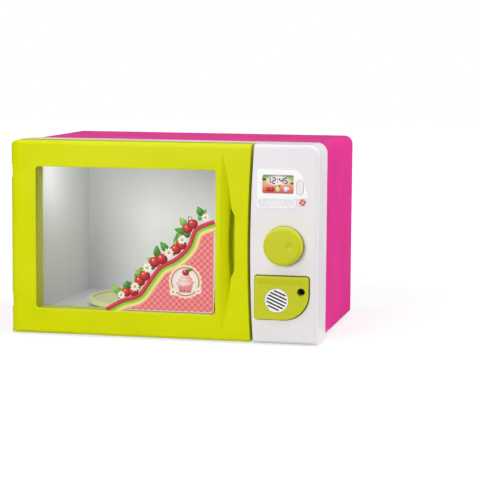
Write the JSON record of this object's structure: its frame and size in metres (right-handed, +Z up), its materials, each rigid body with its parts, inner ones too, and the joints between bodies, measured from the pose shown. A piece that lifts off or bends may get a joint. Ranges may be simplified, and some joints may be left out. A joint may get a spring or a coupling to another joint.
{
  "type": "toy oven",
  "caption": "Play microwave oven with a side-hinged windowed door, a turning knob, a press button, a sound module and a turntable.",
  "frame": {"origin": "on the surface the oven stands on, under the middle of its box at rest", "axes": "+X to the right of someone facing the door, along the width; +Y from the door to the back; +Z up"},
  "size_m": [0.3954, 0.289, 0.246],
  "materials": {
    "pink_plastic": "satin",
    "white_plastic": "satin",
    "lime_plastic": "satin",
    "knob_plastic": "satin",
    "grey_plastic": "fine grain",
    "clear_plastic": "polished",
    "printed_film": "printed",
    "printed_label": "printed",
    "red_lens": "polished",
    "white_grille": "satin",
    "rubber_foot": "matte",
    "zinc_screw": "zinc plated",
    "black_screw": "blackened",
    "steel_pin": "ground",
    "spring_steel": "bright",
    "nylon_wheel": "natural",
    "board_laminate": "solder mask",
    "black_plastic": "matte",
    "clear_resin": "cast",
    "speaker_steel": "plated",
    "cone_paper": "pressed",
    "ferrite": "sintered",
    "cell_steel": "plated",
    "contact_metal": "plated",
    "wire_cover": "extruded"
  },
  "bodies": {
    "oven": {"rear_housing": "pink_plastic", "feet": "rubber_foot", "housing_screws": "zinc_screw", "front_bezel": "white_plastic", "cavity_liner": "grey_plastic", "liner_screws": "zinc_screw", "turntable_spindle": "white_plastic", "catch_clip": "spring_steel", "clip_screw": "zinc_screw", "click_spring": "spring_steel", "click_spring_screw": "zinc_screw", "display_label": "printed_label", "button_spring": "spring_steel", "tact_switch": "black_plastic", "lamp_lens": "red_lens", "led": "clear_resin", "circuit_board": "board_laminate", "sound_chip": "black_plastic", "board_screws": "zinc_screw", "module_cover": "knob_plastic", "cover_screw": "black_screw", "speaker_grille": "white_grille", "speaker_basket": "speaker_steel", "speaker_cone": "cone_paper", "speaker_magnet": "ferrite", "module_tray": "black_plastic", "tray_screws": "zinc_screw", "button_cells": "cell_steel", "rear_contact": "contact_metal", "front_contact": "contact_metal", "leads": "wire_cover"},
    "door": {"door_shell": "lime_plastic", "door_inner_frame": "lime_plastic", "door_frame_screws": "zinc_screw", "window_pane": "clear_plastic", "window_decal": "printed_film", "lower_hinge_pin": "steel_pin", "upper_hinge_pin": "steel_pin", "door_catch": "white_plastic", "catch_screws": "zinc_screw"},
    "knob": {"knob": "knob_plastic", "knob_shaft": "steel_pin", "click_wheel": "nylon_wheel", "shaft_clip": "spring_steel"},
    "start_button": {"start_button": "white_plastic"},
    "turntable": {"turntable_plate": "grey_plastic"}
  },
  "joints": [
    {"name": "door_hinge", "type": "hinge", "parent": "oven", "child": "door", "pos_m": [-0.1832, -0.1165, 0.124], "axis": [0, 0, -1], "range_deg": [0, 100]},
    {"name": "knob_turn", "type": "hinge", "parent": "oven", "child": "knob", "pos_m": [0.1557, -0.13, 0.1233], "axis": [0, 1, 0], "continuous": true},
    {"name": "start_button_press", "type": "slide", "parent": "oven", "child": "start_button", "axis": [0, 1, 0], "range_m": [0, 0.002], "stiffness_N_per_m": 400, "springref_m": -0.001, "deforming": ["button_spring"]},
    {"name": "turntable_spin", "type": "hinge", "parent": "oven", "child": "turntable", "pos_m": [-0.03715, 0.0115, 0.028], "axis": [0, 0, 1], "continuous": true}
  ]
}
